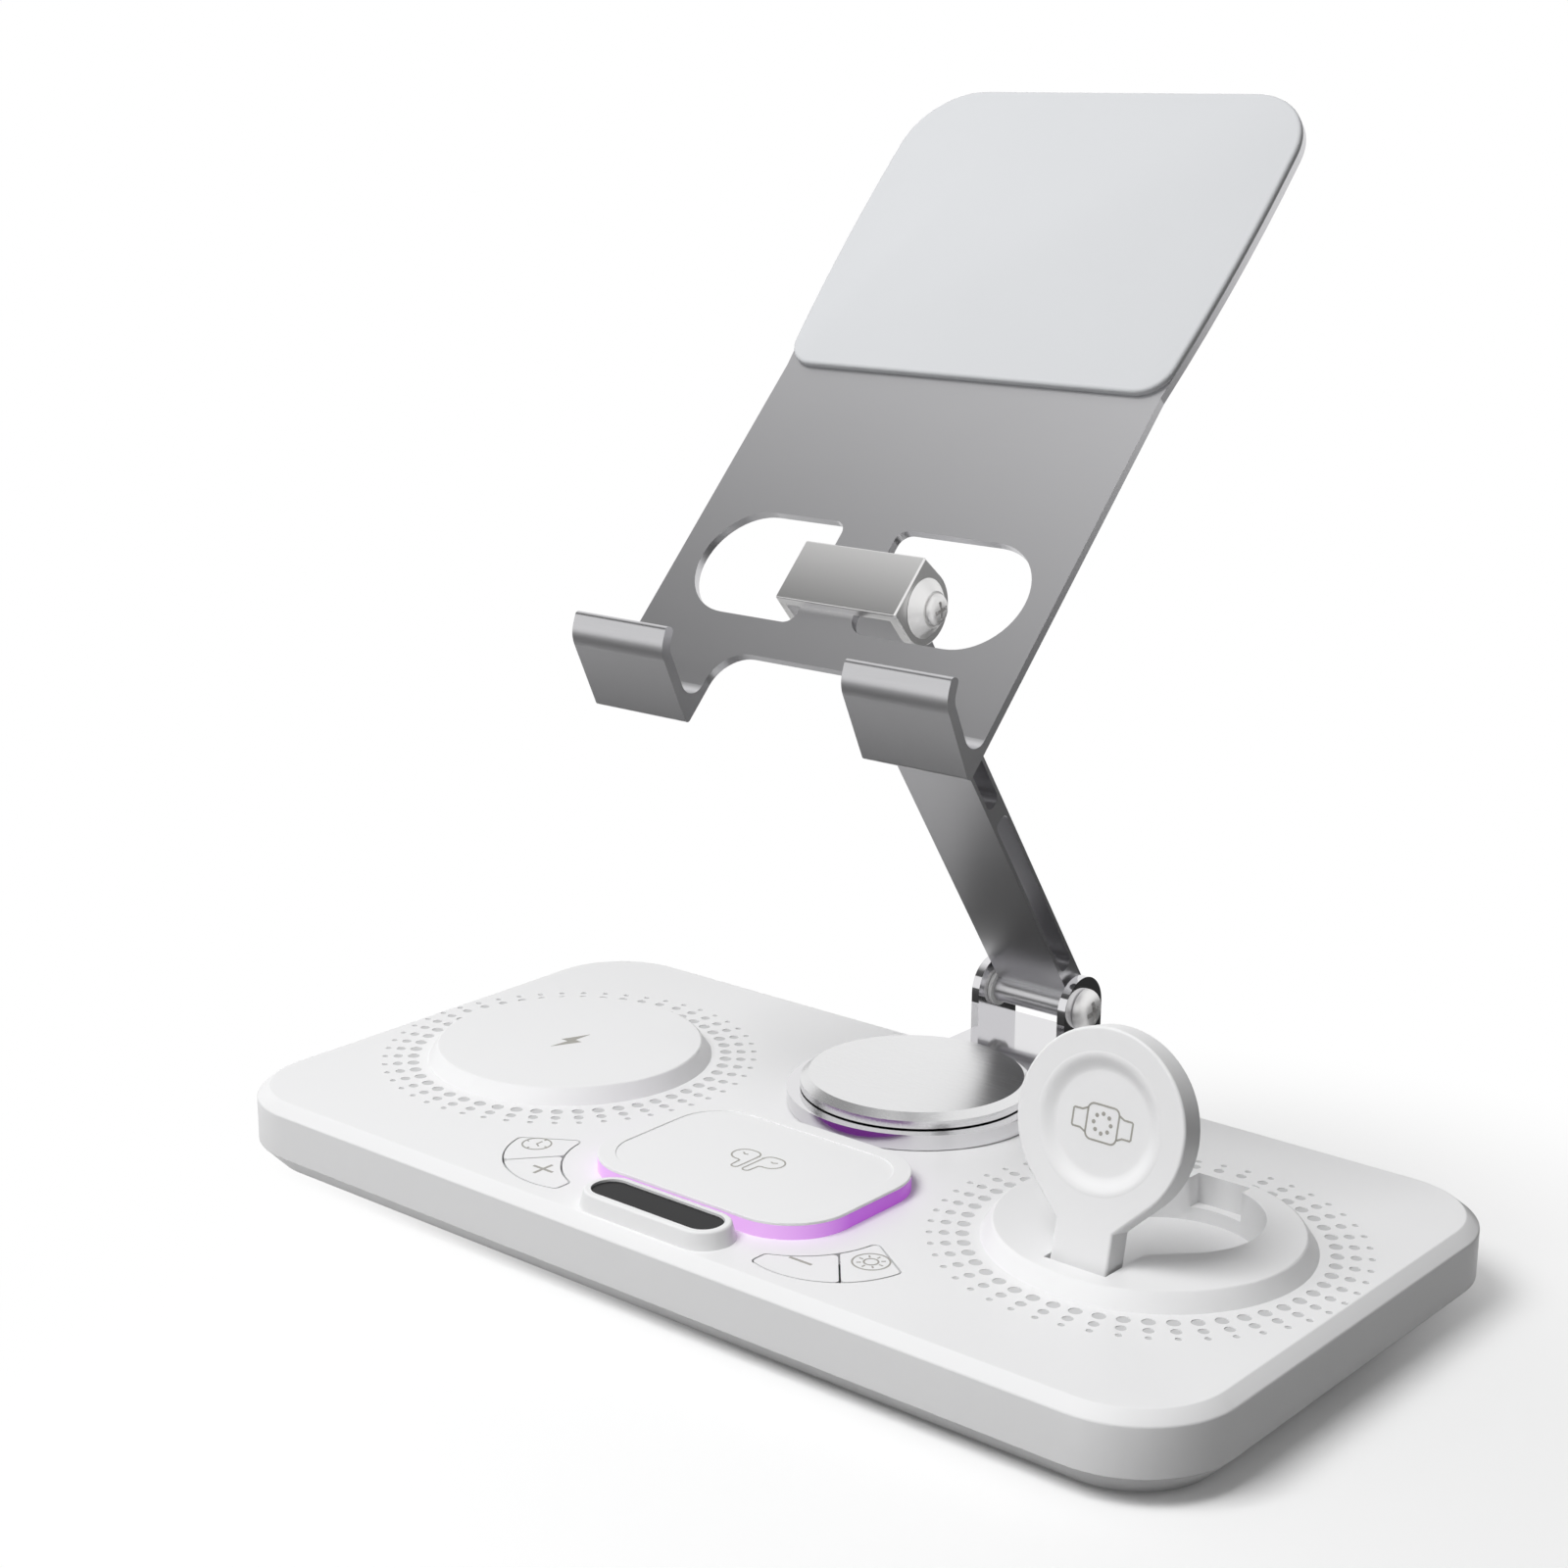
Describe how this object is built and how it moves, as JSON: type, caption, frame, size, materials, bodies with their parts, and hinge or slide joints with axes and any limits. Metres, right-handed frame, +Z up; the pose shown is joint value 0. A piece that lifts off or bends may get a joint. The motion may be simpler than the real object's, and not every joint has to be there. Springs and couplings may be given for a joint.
{
  "type": "wireless charging station",
  "caption": "White wireless charging station with a folding metal phone stand on a turntable, phone pad, earbud pad with light ring, clock display and flip-up watch holder.",
  "frame": {"origin": "on the desk under the centre of the base, on the underside of the non-slip mat", "axes": "+X along the base to its right end, +Y to the rear, +Z up"},
  "size_m": [0.21, 0.1368, 0.1968],
  "materials": {
    "white_plastic": "satin white moulded plastic",
    "light_diffuser": "milky light ring, lit violet",
    "dark_lens": "smoked glossy window",
    "black_rubber": "matt dark rubber",
    "grey_rubber": "matt dark grey rubber",
    "pale_silicone": "matt pale grey silicone",
    "satin_aluminium": "satin anodised sheet",
    "polished_steel": "polished dark plate",
    "cap_metal": "satin turned disc",
    "bracket_metal": "satin bent sheet",
    "screw_steel": "bright plated",
    "nylon": "natural white nylon",
    "plain_steel": "plain steel",
    "board_green": "green circuit board",
    "black_plastic": "black moulded plastic",
    "lamp_resin": "clear resin lamp",
    "copper": "enamelled copper winding",
    "ferrite": "dark ferrite sheet"
  },
  "bodies": {
    "base": {"anchor_plate": "plain_steel", "board_chips": "black_plastic", "bottom_cover": "white_plastic", "case_screws": "screw_steel", "charge_socket": "plain_steel", "display_lens": "dark_lens", "display_module": "black_plastic", "earbud_coil": "copper", "earbud_ferrite": "ferrite", "earbud_lid": "white_plastic", "key_switches": "black_plastic", "light_ring": "light_diffuser", "main_board": "board_green", "night_light_lamps": "lamp_resin", "non_slip_mat": "black_rubber", "phone_coil": "copper", "phone_ferrite": "ferrite", "pivot_post": "screw_steel", "power_board": "board_green", "thrust_washer": "nylon", "top_cover": "white_plastic", "turntable_cap": "cap_metal", "watch_pin": "screw_steel"},
    "swivel": {"swivel_plate": "polished_steel"},
    "arm": {"arm_bar": "satin_aluminium", "lower_hinge_washers": "nylon", "lower_hinge_screws": "screw_steel", "upper_hinge_spacers": "nylon", "upper_hinge_cups": "screw_steel", "upper_hinge_screws": "screw_steel"},
    "plate": {"phone_plate": "satin_aluminium", "plate_pad": "pale_silicone", "hook_pads": "grey_rubber", "hinge_bracket": "bracket_metal"},
    "watch": {"watch_arm": "white_plastic", "watch_dish": "white_plastic", "watch_coil": "copper", "watch_magnet": "plain_steel"},
    "clock_key": {"clock_key": "white_plastic"},
    "plus_key": {"plus_key": "white_plastic"},
    "minus_key": {"minus_key": "white_plastic"},
    "light_key": {"light_key": "white_plastic"}
  },
  "joints": [
    {"name": "stand_turn", "type": "hinge", "parent": "base", "child": "swivel", "pos_m": [0, 0.0246, 0.0165], "axis": [0, 0, 1], "range_deg": [-80, 80]},
    {"name": "arm_tilt", "type": "hinge", "parent": "swivel", "child": "arm", "pos_m": [0, 0.0635, 0.0254], "axis": [1, 0, 0], "range_deg": [-45, 36]},
    {"name": "plate_tilt", "type": "hinge", "parent": "arm", "child": "plate", "pos_m": [0, 0.00697, 0.11263], "axis": [-1, 0, 0], "range_deg": [-20, 100]},
    {"name": "watch_flip", "type": "hinge", "parent": "base", "child": "watch", "pos_m": [0.066, -0.0184, 0.0154], "axis": [-1, 0, 0], "range_deg": [0, 78.5]},
    {"name": "clock_key_press", "type": "slide", "parent": "base", "child": "clock_key", "axis": [0, 0, -1], "range_m": [0, 0.0004], "stiffness_N_per_m": 2000},
    {"name": "plus_key_press", "type": "slide", "parent": "base", "child": "plus_key", "axis": [0, 0, -1], "range_m": [0, 0.0004], "stiffness_N_per_m": 2000},
    {"name": "minus_key_press", "type": "slide", "parent": "base", "child": "minus_key", "axis": [0, 0, -1], "range_m": [0, 0.0004], "stiffness_N_per_m": 2000},
    {"name": "light_key_press", "type": "slide", "parent": "base", "child": "light_key", "axis": [0, 0, -1], "range_m": [0, 0.0004], "stiffness_N_per_m": 2000}
  ]
}
